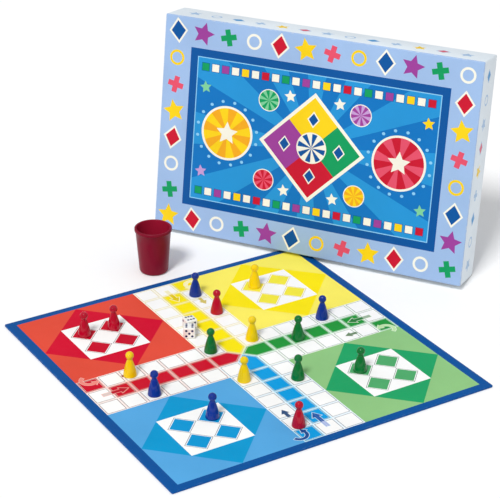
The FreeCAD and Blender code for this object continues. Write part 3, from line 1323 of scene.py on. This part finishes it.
@dataclass
class Dice:
    """Two dice with rounded edges and hollowed, painted pips."""

    edge: float = 12.0
    round: float = 1.4
    pip_d: float = 2.5
    pip_depth: float = 0.5
    step: float = 3.0
    ball_facets: int = 24
    turns: ClassVar[dict[str, float]] = {"die_front": -31.5, "die_rear": 85.0}
    faces: ClassVar[dict[tuple[int, int, int], int]] = {
        (0, -1, 0): 5, (0, 1, 0): 2, (1, 0, 0): 3, (-1, 0, 0): 4, (0, 0, 1): 6, (0, 0, -1): 1}

    @staticmethod
    def spots(count: int) -> list[tuple[int, int]]:
        """The places of a face's pips, in steps from its middle.

        Args:
            count: How many pips.

        Returns:
            Steps across and along.
        """
        middle = [(0, 0)] if count % 2 else []
        round_it = [(-1, -1), (1, 1), (-1, 1), (1, -1), (-1, 0), (1, 0)]
        return middle + round_it[:count - len(middle)]

    def cutter(self) -> Bench:
        """Model the balls that hollow all the pips, as one piece.

        Returns:
            The joined balls.
        """
        ball_r = (self.pip_d ** 2 / 4 + self.pip_depth ** 2) / (2 * self.pip_depth)
        reach = self.edge / 2 - self.pip_depth + ball_r
        outline = arc((0.0, 0.0), ball_r, -90, 90, 14)
        ball = Bench.turned("pip_ball", [(0.0, -ball_r)] + outline[1:-1] + [(0.0, ball_r)],
                            self.ball_facets)
        balls = []
        for normal, count in self.faces.items():
            across = Vector((0, 1, 0)) if normal[0] else Vector((1, 0, 0))
            along = Vector((0, 1, 0)) if normal[2] else Vector((0, 0, 1))
            aim = Vector((0, 0, 1)).rotation_difference(-Vector(normal)).to_matrix().to_4x4()
            for s, t in self.spots(count):
                spot = Vector(normal) * reach + (across * s + along * t) * self.step
                balls.append(ball.copy("pip").place(Matrix.Translation(spot * MM) @ aim))
        ball.join(balls)
        return ball

    def build(self) -> None:
        """Model one die and set a turned copy in each place."""
        half = self.edge / 2
        body = MouldedPlastic("die_white_plastic", "F6F5F0", gloss=0.18, coat=0.2, shine=0.5)
        paint = MouldedPlastic("pip_navy_paint", "101C58", gloss=0.34, coat=0.0, shine=0.3)
        model = Bench.block("die_model", (-half,) * 3, (half,) * 3)
        model.pick_edges(lambda a, b: True)
        model.bevel(self.round, 5)
        model.dress([body])
        cutter = self.cutter()
        cutter.dress([paint])
        model.modify("BOOLEAN", operation="DIFFERENCE", object=cutter.obj, solver="EXACT",
                     material_mode="TRANSFER")
        bpy.data.objects.remove(cutter.obj)
        model.smooth(32)
        for node, turn in self.turns.items():
            low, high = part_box(node)
            middle = (low + high) / 2 / MM
            die = model.copy("pipped_" + node)
            die.place(moved(middle.x, middle.y, middle.z, turn))
            die.hand_over(node, "die_plastic", node)
        bpy.data.objects.remove(model.obj)


@dataclass
class ShakerCup:
    """The tapered cup with a thick rolled lip and a rounded foot."""

    height: float = 51.0
    rim_r: float = 20.0
    base_r: float = 15.2
    wall: float = 1.4
    floor: float = 2.0
    lip_h: float = 3.6
    lip_out: float = 1.1
    lip_round: float = 0.9
    foot_r: float = 3.0
    dish: float = 0.35
    floor_r: float = 1.6
    facets: int = 96
    rings: ClassVar[tuple[float, ...]] = (9.0, 18.0, 27.0, 36.0)

    def outline(self) -> Outline:
        """The cup's profile, from the middle of its underside round the lip to the middle of its floor.

        Returns:
            Radius and height of each point.
        """
        wall_r = self.rim_r - self.lip_out
        lip_z = self.height - self.lip_h
        lean = (wall_r - self.base_r) / lip_z
        foot_r, lip = self.foot_r, self.lip_round
        points = [(0.0, self.dish), (self.base_r * 0.6, self.dish), (self.base_r * 0.66, 0.0)]
        points += arc((self.base_r - foot_r * 0.92, foot_r), foot_r, -90, -5, 8)
        points += [(self.base_r + lean * z, z) for z in self.rings]
        points += [(wall_r - 0.02, lip_z - 0.25), (wall_r + 0.15, lip_z)]
        points += arc((self.rim_r - lip, lip_z + lip), lip, -90, 0, 5)
        points += arc((self.rim_r - lip, self.height - lip), lip, 0, 90, 5)
        inner_top = wall_r + lean * self.lip_h - self.wall
        points += arc((inner_top + 0.5, self.height - 0.5), 0.5, 90, 180, 4)
        inner_low = self.base_r + lean * self.floor - self.wall
        points += [(inner_low + lean * (z - self.floor), z) for z in reversed(self.rings)]
        points += arc((inner_low - self.floor_r, self.floor + self.floor_r), self.floor_r, 0, -90, 5)
        return points + [(inner_low * 0.5, self.floor), (0.0, self.floor)]

    def is_inside(self, middle: Vector, normal: Vector) -> bool:
        """Whether a face is one of the cup's inside, which looks to its axis, or of its floor."""
        inwards = normal.x * middle.x + normal.y * middle.y < 0
        return middle.z > self.floor - NEAR and (inwards or middle.z < self.floor + NEAR)

    def build(self) -> None:
        """Model the cup and stand it in its place."""
        low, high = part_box("shaker_cup")
        middle = (low + high) / 2 / MM
        cup = Bench.turned("shaker_cup_moulded", self.outline(), self.facets)
        cup.paint(1, self.is_inside)
        cup.place(moved(middle.x, middle.y, low.z / MM))
        cup.smooth(40)
        # The inside faces take a second, lighter crimson than the outside: painted light, standing in for light
        # that passes through the plastic into the cup.
        pigments = (("cup_crimson_plastic", "7F0A28"), ("cup_inner_plastic", "A01834"))
        cup.dress([MouldedPlastic(*p, gloss=0.34, coat=0.0, shine=0.14, relief=0.05) for p in pigments])
        cup.hand_over("shaker_cup", "cup_plastic", "shaker_cup")


# The box

class Motif(Enum):
    """The plain shapes printed on the lid."""

    STAR = "star"
    DIAMOND = "diamond"
    RING = "ring"
    PLUS = "plus"
    WHEEL = "wheel"
    CELL = "cell"
    KITE = "kite"
    DOT = "dot"


class LidInk(Enum):
    """The lid's printing inks."""

    SKY = "9DBAE2"
    NAVY = "04529A"
    ICE = "8CCBEF"
    BLUE = "0A72BE"
    AZURE = "2492D4"
    YELLOW = "F6D016"
    AMBER = "F0A81C"
    RED = "C8132F"
    ROSE = "E2506A"
    GREEN = "0C9A5C"
    MINT = "7CCB9A"
    PURPLE = "9B3F98"
    LILAC = "C39AD2"
    CREAM = "F3F0E2"
    PALE = "A6C6E8"

    def finish(self) -> PrintedPaper:
        """The finish of this ink on the lid."""
        return PrintedPaper("lid_" + self.name.lower() + "_ink", self.value, gloss=0.34, shine=0.16)


class MotifKit:
    """Models each printed shape once, about 1 mm in radius, and stamps copies of it."""

    wedge: ClassVar[float] = 22.5

    def __init__(self, face: Matrix, ink_t: float) -> None:
        """Take the lid face's frame and the ink's thickness.

        Args:
            face: The lid face's frame.
            ink_t: Thickness of the ink.
        """
        self.face = face
        self.ink_t = ink_t
        self.models: dict[Motif, Bench] = {}
        self.stamps: list[Bench] = []

    def model(self, motif: Motif) -> Bench:
        """Give a shape's model, made on its first use.

        Args:
            motif: The shape.

        Returns:
            Its model.
        """
        if motif not in self.models:
            self.models[motif] = getattr(self, motif.value)()
        return self.models[motif]

    @staticmethod
    def star() -> Bench:
        """Model a five-pointed star from a ten-cornered disc.

        Returns:
            The flat shape.
        """
        bench = Bench.disc("star", 1.0, 10)

        def inner(corner: Vector) -> bool:
            """Whether a corner is one of the five inner ones."""
            return round(math.degrees(math.atan2(corner.y, corner.x)) - 90) % 72 == 36
        bench.pick_corners(inner)
        bench.resize((0.48, 0.48, 1))
        return bench

    @staticmethod
    def dot() -> Bench:
        """Model a round dot, a little squashed as by hand.

        Returns:
            The flat shape.
        """
        bench = Bench.disc("dot", 1.0, 24)
        bench.pick(every)
        bench.resize((1.0, 0.92, 1))
        return bench

    @staticmethod
    def diamond() -> Bench:
        """Model an upright diamond with a pale edge.

        Returns:
            The flat shape.
        """
        bench = Bench.disc("diamond", 1.0, 4)
        bench.pick(every)
        bench.resize((0.78, 1, 1))
        bench.paint(1)
        bench.inset(0.14)
        bench.paint(0)
        return bench

    @staticmethod
    def ring() -> Bench:
        """Model a flat ring.

        Returns:
            The flat shape.
        """
        bench = Bench.disc("ring", 1.0, 40)
        bench.pick(every)
        bench.inset(0.3)
        bpy.ops.mesh.delete(type="FACE")
        return bench

    @staticmethod
    def plus() -> Bench:
        """Model a plus sign from a grid of nine.

        Returns:
            The flat shape.
        """
        bench = Bench.sheet("plus", (-0.9, -0.9), (0.9, 0.9), 0, 3, 3)
        bench.drop(lambda middle, normal: abs(middle.x) > 0.4 and abs(middle.y) > 0.4)
        return bench

    @staticmethod
    def wheel() -> Bench:
        """Model a wheel of sixteen wedges in two inks, with a rim in a third.

        Returns:
            The flat shape.
        """
        bench = Bench.disc("wheel", 1.0, 64)
        bench.pick(every)
        bench.paint(2)
        bench.inset(0.08)
        for k in range(8):
            a = math.radians(MotifKit.wedge * k)
            bench.cut((0, 0, 0), (math.sin(a), -math.cos(a), 0), lambda middle, normal: middle.length < 0.9)
        bench.paint(0, lambda middle, normal: middle.length < 0.9)

        def odd(middle: Vector, normal: Vector) -> bool:
            """Whether a face is in a second wedge."""
            return middle.length < 0.9 and math.degrees(math.atan2(middle.y, middle.x)) // MotifKit.wedge % 2 == 1
        bench.paint(1, odd)
        return bench

    @staticmethod
    def cell() -> Bench:
        """Model a square cell with a dark outline.

        Returns:
            The flat shape.
        """
        bench = Bench.sheet("cell", (-1, -1), (1, 1))
        bench.pick(every)
        bench.paint(1)
        bench.inset(0.12)
        bench.paint(0)
        return bench

    @staticmethod
    def kite() -> Bench:
        """Model a large diamond in four inks inside a pale edge, with a pale heart.

        Returns:
            The flat shape.
        """
        bench = Bench.disc("kite", 1.0, 4)
        bench.pick(every)
        bench.paint(4)
        bench.inset(0.06)
        for way in ((1, 1, 0), (1, -1, 0)):
            bench.cut((0, 0, 0), way, lambda middle, normal: abs(middle.x) + abs(middle.y) < 0.85)
        for slot, way in enumerate(((1, 0, 0), (0, 1, 0), (-1, 0, 0), (0, -1, 0))):
            aim = Vector(way)
            bench.pick(lambda middle, normal: middle.length < 0.55 and middle.normalized().dot(aim) > 0.9)
            bench.paint(slot)
        return bench

    def stamp(self, motif: Motif, inks: Sequence[LidInk], u: float, v: float, size: float, turn: float = 0.0,
              lift: int = 0, wall: Matrix = Matrix()) -> None:
        """Print a copy of a shape.

        Args:
            motif: The shape.
            inks: Its inks in slot order.
            u: Place across the face from its middle.
            v: Place up the face from its lower edge.
            size: Radius in mm.
            turn: Turn in degrees.
            lift: How many layers of ink lie under it.
            wall: The frame of the side that it is printed on, or the lid's front.
        """
        copy = self.model(motif).copy(f"{motif.value}_print")
        copy.place(wall @ moved(u, v, lift * self.ink_t, turn, size))
        copy.dress([ink.finish() for ink in inks])
        self.stamps.append(copy)

    def gather(self, name: str) -> Bench:
        """Join all that was stamped into one layer of ink on the lid's face.

        Args:
            name: The layer's name.

        Returns:
            The layer.
        """
        first, *rest = self.stamps
        first.join(rest)
        first.obj.name = first.obj.data.name = name
        first.thicken(self.ink_t, inwards=False)
        first.place(self.face)
        for model in self.models.values():
            bpy.data.objects.remove(model.obj)
        return first


@dataclass(frozen=True)
class LidLayout:
    """Sizes and places of the lid's printed shapes, in mm from its middle, and their tilts in degrees."""

    kite_r: float = 60.0
    hub_r: float = 17.0
    gem_at: float = 31.0
    gem_r: float = 9.0
    wheel_at: float = 98.0
    wheel_r: float = 30.0
    wheel_star_r: float = 13.0
    dot_ring: float = 35.0
    dot_r: float = 1.8
    small_wheel_r: float = 12.0
    star_r: float = 7.0
    star_tilt: float = 9.0
    row_at: float = 69.0
    cell_step: float = 11.6
    cell_r: float = 4.6
    band_tilt: float = 14.0
    wall_step: float = 25.5
    wall_tilt: float = 11.0
    ray: float = 15.0


@dataclass
class GameBox:
    """The closed box, leaning: lid and tray of greyboard, their paper wraps, and what stays in the tray."""

    wrap_t: float = 0.2
    corner_r: float = 1.2
    lid_deep: float = 42.0
    lid_rim: float = 44.0
    lid_wall: float = 1.7
    turn_in: float = 15.0
    band: float = 32.0
    frame_w: float = 8.5
    keyline: float = 1.0
    ink_t: float = 0.02
    tray_in: float = 2.3
    tray_front: float = 1.8
    tray_floor: float = 43.3
    divider_top: float = 59.0
    divider_front: float = 7.3
    divider_half: float = 173.5
    divider_leg: float = 15.0
    score_r: float = 1.1
    card_t: float = 1.0
    spine_r: float = 0.19
    leaf_t: float = 0.12
    rub: float = 1.1
    leaflet: tuple[float, float, float] = (210.0, 148.0, 0.4)
    plan: LidLayout = LidLayout()

    def __post_init__(self) -> None:
        """Find the box's own frame from the lid's slide and the lid's and tray's CAD corners."""
        slide = next(j for j in frame["joints"] if j["name"] == "lid_off")
        inwards = -Vector(slide["axis"]).normalized()
        along = Vector((inwards.y, -inwards.x, 0)).normalized()
        up = along.cross(inwards)
        turn = Matrix((along, up, -inwards)).transposed()
        corners = [turn.transposed() @ v.co for n in ("box_lid_wrap", "box_tray_wrap")
                   for v in frame["nodes"][n].data.vertices]
        low = Vector([min(c[k] for c in corners) for k in range(3)])
        high = Vector([max(c[k] for c in corners) for k in range(3)])
        foot = Vector(((low.x + high.x) / 2, low.y, high.z))
        self.face = Matrix.Translation(turn @ foot) @ turn.to_4x4()
        self.half_l = (high.x - low.x) / 2 / MM
        self.tall = (high.y - low.y) / MM
        self.deep = (high.z - low.z) / MM
        middle = self.face @ (Vector((0, self.tall / 2, -self.deep / 2)) * MM)
        self.zone = RubZone(tuple(middle), tuple(Vector((self.half_l, self.tall / 2, self.deep / 2)) * MM),
                            (self.rub * MM,) * 3, tuple(turn.to_euler()))

    def carton(self, name: str, inset: float, front: float, back: float, open_front: bool) -> Bench:
        """Model a wrap's outside: a shallow box, open on one side, with rounded corners and edges.

        Args:
            name: The piece's name.
            inset: How far its four sides lie inside the lid's.
            front: Depth of its front from the lid's face.
            back: Depth of its back from the lid's face.
            open_front: Whether the front is the open side.

        Returns:
            The sheet, in the box's own frame.
        """
        half, low, high = self.half_l - inset, inset, self.tall - inset
        bench = Bench.block(name, (-half, low, -back), (half, high, -front))
        shut = -back if open_front else -front

        def sharp(a: Vector, b: Vector) -> bool:
            """Whether an edge runs back or round the shut side."""
            deep = abs(a.z - b.z) > 1
            return deep or (abs(a.z - shut) < NEAR and abs(b.z - shut) < NEAR)
        bench.pick_edges(sharp)
        bench.bevel(self.corner_r, 3)
        bench.drop(lambda middle, normal: (normal.z > LEVEL) == open_front and abs(normal.z) > LEVEL)
        return bench

    def lid_wrap(self) -> None:
        """Model the printed wrap of the lid: a pale band, a dark frame, a fine line and a rayed panel."""
        bench = self.carton("lid_wrap_print", 0.0, 0.0, self.lid_deep, False)
        self.fold_rim(bench)
        heart = Vector((0, self.tall / 2, 0))

        def front(middle: Vector, normal: Vector) -> bool:
            """Whether a face is on the lid's front."""
            return normal.z > LEVEL
        bench.paint(1, lambda middle, normal: abs(normal.z) < NEAR or normal.z < -LEVEL)
        bench.pick(front)
        bench.inset(self.band - self.corner_r)
        bench.paint(2)
        bench.inset(self.frame_w)
        bench.paint(3)
        bench.inset(self.keyline)
        bench.paint(4)
        rim = self.band + self.frame_w + self.keyline
        wide, high = self.half_l - rim, self.tall / 2 - rim

        def panel(middle: Vector, normal: Vector) -> bool:
            """Whether a face is in the rayed panel."""
            off = middle - heart
            return normal.z > LEVEL and abs(off.x) < wide and abs(off.y) < high
        ray = self.plan.ray
        for k in range(round(180 / ray)):
            a = math.radians(ray * (k + 0.5))
            bench.cut(heart, (math.sin(a), -math.cos(a), 0), panel)

        def odd(middle: Vector, normal: Vector) -> bool:
            """Whether a face is in a second ray."""
            off = middle - heart
            return panel(middle, normal) and (math.degrees(math.atan2(off.y, off.x)) - ray / 2) // ray % 2 == 1
        bench.paint(5, odd)
        bench.thicken(self.wrap_t)
        bench.place(self.face)
        bench.smooth(40)
        band = PrintedPaper("lid_band_print", LidInk.SKY.value, gloss=0.34, shine=0.16, wear=self.zone)
        wall = PrintedPaper("lid_wall_print", "E6F0F8", gloss=0.34, shine=0.16, wear=self.zone)
        inks = [LidInk.NAVY, LidInk.ICE, LidInk.BLUE, LidInk.AZURE]
        bench.dress([band, wall] + [ink.finish() for ink in inks])
        bench.hand_over("box_lid", "lid_print", "box_lid_wrap")

    def fold_rim(self, bench: Bench) -> None:
        """Carry the lid's paper over its rim and down the inside, but not on the side that it stands on.

        Args:
            bench: The lid's sheet, open at the back, in the box's own frame.
        """
        low, step = self.corner_r, self.lid_wall + self.wrap_t
        bench.pick_edges(lambda a, b: max(a.z, b.z) < NEAR - self.lid_deep and min(a.y, b.y) > low - NEAR)
        bench.extrude((0, 0, self.lid_deep - self.lid_rim - self.wrap_t))
        bench.extrude((0, 0, 0))
        bench.resize((1 - step / self.half_l, 1 - step / (self.tall - low), 1), (0, low, 0))
        bench.extrude((0, 0, self.turn_in))

    def lid_motifs(self) -> None:
        """Print the band of small shapes and the panel's wheels, kite and rows of cells."""
        kit = MotifKit(self.face, self.ink_t)
        mid = self.tall / 2
        ink, plan = LidInk, self.plan
        kit.stamp(Motif.KITE, [ink.GREEN, ink.YELLOW, ink.PURPLE, ink.RED, ink.CREAM], 0, mid, plan.kite_r)
        kit.stamp(Motif.WHEEL, [ink.CREAM, ink.NAVY, ink.CREAM], 0, mid, plan.hub_r, lift=1)
        for u, v in ((1, 0), (0, 1), (-1, 0), (0, -1)):
            place = u * plan.gem_at, mid + v * plan.gem_at
            kit.stamp(Motif.DIAMOND, [ink.NAVY, ink.CREAM], *place, plan.gem_r, lift=1)
        for u, dark, light in ((-plan.wheel_at, ink.YELLOW, ink.AMBER), (plan.wheel_at, ink.RED, ink.ROSE)):
            kit.stamp(Motif.WHEEL, [dark, light, ink.CREAM], u, mid, plan.wheel_r)
            kit.stamp(Motif.STAR, [ink.CREAM], u, mid, plan.wheel_star_r, lift=1)
            for k in range(16):
                a = math.radians(kit.wedge * (k + 0.5))
                across, up = plan.dot_ring * math.cos(a), plan.dot_ring * math.sin(a)
                kit.stamp(Motif.DOT, [ink.ICE], u + across, mid + up, plan.dot_r)
        wheels = ((-52, 44, ink.GREEN, ink.MINT), (52, 44, ink.PURPLE, ink.LILAC),
                  (-52, -44, ink.RED, ink.ROSE), (52, -44, ink.YELLOW, ink.AMBER))
        for u, v, dark, light in wheels:
            kit.stamp(Motif.WHEEL, [dark, light, ink.CREAM], u, mid + v, plan.small_wheel_r)
        stars = ((-126, 47, ink.MINT), (126, 47, ink.YELLOW), (-126, -47, ink.LILAC), (126, -47, ink.MINT),
                 (-28, 52, ink.CREAM), (28, 52, ink.CREAM), (-28, -52, ink.CREAM), (28, -52, ink.CREAM))
        for u, v, hue in stars:
            kit.stamp(Motif.STAR, [hue], u, mid + v, plan.star_r, plan.star_tilt)
        hues = [ink.CREAM, ink.YELLOW, ink.CREAM, ink.RED, ink.CREAM, ink.GREEN, ink.CREAM, ink.PURPLE]
        for row in (-plan.row_at, plan.row_at):
            for k in range(-11, 12):
                inks = [hues[k % len(hues)], ink.NAVY]
                kit.stamp(Motif.CELL, inks, k * plan.cell_step, mid + row, plan.cell_r)
        self.wall_shapes(kit)
        self.band_shapes(kit)
        layer = kit.gather("lid_motif_print")
        layer.hand_over("box_lid", "lid_print")

    def band_shapes(self, kit: MotifKit) -> None:
        """Print the shapes along the middle of the pale band, evenly round the lid.

        Args:
            kit: What stamps them.
        """
        ink = LidInk
        wide, high = self.half_l - self.band / 2, self.tall / 2 - self.band / 2
        shapes = [(Motif.STAR, [ink.YELLOW], 13.0), (Motif.DIAMOND, [ink.RED, ink.CREAM], 14.0),
                  (Motif.RING, [ink.CREAM], 8.5), (Motif.PLUS, [ink.GREEN], 10.0),
                  (Motif.STAR, [ink.PURPLE], 13.0), (Motif.DIAMOND, [ink.NAVY, ink.CREAM], 14.0),
                  (Motif.RING, [ink.YELLOW], 8.5), (Motif.PLUS, [ink.ROSE], 10.0)]
        sides = ((-wide, -high, wide, -high, 11), (wide, -high, wide, high, 7),
                 (wide, high, -wide, high, 11), (-wide, high, -wide, -high, 7))
        number = 0
        for u0, v0, u1, v1, count in sides:
            for k in range(count):
                t = k / count
                motif, inks, size = shapes[number % len(shapes)]
                turn = self.plan.band_tilt * math.sin(2.4 * number)
                kit.stamp(motif, inks, u0 + (u1 - u0) * t, self.tall / 2 + v0 + (v1 - v0) * t, size, turn)
                number += 1

    def wall_shapes(self, kit: MotifKit) -> None:
        """Print a row of small pale shapes, with a coloured one now and then, along the lid's four walls.

        Args:
            kit: What stamps them.
        """
        ink = LidInk
        shapes = [(Motif.STAR, [ink.PALE], 8.0), (Motif.RING, [ink.PALE], 6.0),
                  (Motif.DIAMOND, [ink.AZURE, ink.PALE], 8.0), (Motif.PLUS, [ink.PALE], 6.5),
                  (Motif.STAR, [ink.YELLOW], 8.0), (Motif.DIAMOND, [ink.ROSE, ink.PALE], 8.0)]
        deep, half, mid = self.lid_deep / 2, self.half_l, self.tall / 2
        sides = (((half, mid, -deep), (0, 1, 0), (0, 0, 1), 9),
                 ((-half, mid, -deep), (0, 1, 0), (0, 0, -1), 9),
                 ((0, self.tall, -deep), (1, 0, 0), (0, 0, -1), 13),
                 ((0, 0, -deep), (1, 0, 0), (0, 0, 1), 13))
        for middle, along, across, count in sides:
            x, y = Vector(along), Vector(across)
            wall = Matrix.Translation(Vector(middle) * MM) @ Matrix((x, y, x.cross(y))).transposed().to_4x4()
            for k in range(count):
                motif, inks, size = shapes[k % len(shapes)]
                step = (k - (count - 1) / 2) * self.plan.wall_step
                turn = 90 + self.plan.wall_tilt * math.sin(1.9 * k)
                kit.stamp(motif, inks, step, 0, size, turn, wall=wall)

    def tray_wrap(self) -> None:
        """Model the plain paper round the tray."""
        bench = self.carton("tray_wrap_paper", self.tray_in, self.tray_front, self.deep, True)
        bench.thicken(self.wrap_t)
        bench.place(self.face)
        bench.smooth(40)
        bench.dress([PrintedPaper("tray_pale_paper", "CBDAEE", gloss=0.55, wear=self.zone)])
        bench.hand_over("box_tray", "tray_paper", "box_tray_wrap")

    def divider(self) -> None:
        """Model the folded card that parts the tray: a shelf and a leg, with a rounded score."""
        half, top, leg = self.divider_half, self.divider_top, self.divider_leg
        low, high = (-half, top - leg, -self.tray_floor), (half, top, -self.divider_front)
        bench = Bench.block("card_divider", low, high)
        bench.drop(lambda middle, normal: normal.y < 0.9 and normal.z > -0.9)
        bench.pick_edges(lambda a, b: min(a.y, b.y) > top - NEAR and max(a.z, b.z) < NEAR - self.tray_floor)
        bench.bevel(self.score_r, 4)
        bench.thicken(self.card_t)
        bench.place(self.face)
        bench.smooth(30)
        bench.dress([RawBoard("divider_card", "DCD6C8")])
        bench.hand_over("box_tray", "insert_card", "box_divider")

    def rules(self) -> None:
        """Model the leaflet: one sheet folded once, with a rounded spine and two leaves apart."""
        wide, tall, thick = self.leaflet
        low = (-wide / 2, self.divider_top, -self.tray_floor)
        bench = Bench.block("folded_leaflet", low, (wide / 2, low[1] + tall, low[2] + thick))
        bench.drop(lambda middle, normal: normal.x > 0.9 or abs(normal.y) > 0.9)
        bench.pick_edges(lambda a, b: max(a.x, b.x) < NEAR - wide / 2 and abs(a.y - b.y) > 1)
        bench.bevel(self.spine_r, 3)
        bench.thicken(self.leaf_t)
        bench.place(self.face)
        bench.smooth(30)
        bench.dress([RawBoard("leaflet_paper", "F1EFE8")])
        bench.hand_over("box_tray", "leaflet_paper", "rules_leaflet")

    def build(self) -> None:
        """Build every piece of the box and dress its greyboard."""
        self.lid_wrap()
        self.lid_motifs()
        self.tray_wrap()
        self.divider()
        self.rules()
        dress_node("box_lid", RawBoard("lid_greyboard", "CFCBC0"))
        dress_node("box_tray", RawBoard("tray_greyboard", "B7B2A6"))


# The studio

@dataclass
class Studio:
    """A white floor, soft light from the front left and the photograph's camera."""

    eye: tuple[float, float, float] = (-794.05, -1302.79, 883.1)
    azimuth: float = -31.63
    elevation: float = 26.65
    roll: float = 0.474
    focal_px: float = 1794.26
    image_w: float = 500.0
    key_from: tuple[float, float, float] = (-0.53, -0.335, 0.779)
    key_power: float = 2.02
    key_wide: float = 15.0
    sky: tuple[float, float] = (0.18, 0.585)
    floor_half: float = 6000.0
    floor_drop: float = 0.05

    def camera(self) -> None:
        """Set the camera where the photograph was taken from."""
        az, el, roll = (math.radians(a) for a in (self.azimuth, self.elevation, self.roll))
        right = Vector((math.cos(az), math.sin(az), 0))
        back = Vector((math.sin(az) * math.cos(el), -math.cos(az) * math.cos(el), math.sin(el)))
        up = back.cross(right)
        level = (right * math.cos(roll) + up * math.sin(roll),
                 up * math.cos(roll) - right * math.sin(roll), back)
        data = bpy.data.cameras.new("photo_camera")
        data.sensor_width = 36.0
        data.lens = self.focal_px / self.image_w * data.sensor_width
        data.clip_end = 50.0
        camera = bpy.data.objects.new("photo_camera", data)
        bpy.context.scene.collection.objects.link(camera)
        camera.matrix_world = Matrix.Translation(Vector(self.eye) * MM) @ Matrix(level).transposed().to_4x4()
        bpy.context.scene.camera = camera

    def key_light(self) -> None:
        """Hang a wide soft lamp far off, to the left and a little to the front."""
        data = bpy.data.lights.new("key_left", "SUN")
        data.energy = self.key_power
        data.angle = math.radians(self.key_wide)
        lamp = bpy.data.objects.new("key_left", data)
        bpy.context.scene.collection.objects.link(lamp)
        lamp.matrix_world = (-Vector(self.key_from)).to_track_quat("-Z", "Y").to_matrix().to_4x4()

    def floor(self) -> None:
        """Lay a wide white floor, gently uneven in tone."""
        half = self.floor_half
        bench = Bench.sheet("studio_floor", (-half, -half), (half, half), -self.floor_drop, 8, 8)
        material, desk, shader, place = FinishBench.begin("studio_white")
        tone = desk.ramp(desk.noise(place, 0.8), (0.3, 0.7), (0.985, 1.0))
        desk.tree.links.new(tone, shader.inputs["Base Color"])
        shader.inputs["Roughness"].default_value = 0.9
        shader.inputs["Specular IOR Level"].default_value = 0.1
        bench.obj.data.materials.append(material)

    def build(self) -> None:
        """Set the light, the floor and the camera."""
        scene = bpy.context.scene
        scene.view_settings.view_transform = "Standard"
        world = bpy.data.worlds.new("studio_light")
        world.use_nodes = True
        desk = NodeDesk(world.node_tree)
        place = desk.add("ShaderNodeTexCoord").outputs["Generated"]
        ways = desk.add("ShaderNodeSeparateXYZ", {0: place}).outputs
        glow = world.node_tree.nodes["Background"].inputs
        glow["Color"].default_value = (1.0, 1.0, 1.0, 1.0)
        world.node_tree.links.new(desk.ramp(ways["Z"], (0.0, 0.6), self.sky), glow["Strength"])
        scene.world = world
        self.key_light()
        self.floor()
        self.camera()


def main() -> None:
    for assembly in (FoldingBoard(), PlayingMen(), Dice(), ShakerCup(), GameBox(), Studio()):
        log.info("building %s", type(assembly).__name__)
        assembly.build()
    Bench.clear()


if __name__ == "__main__":
    main()
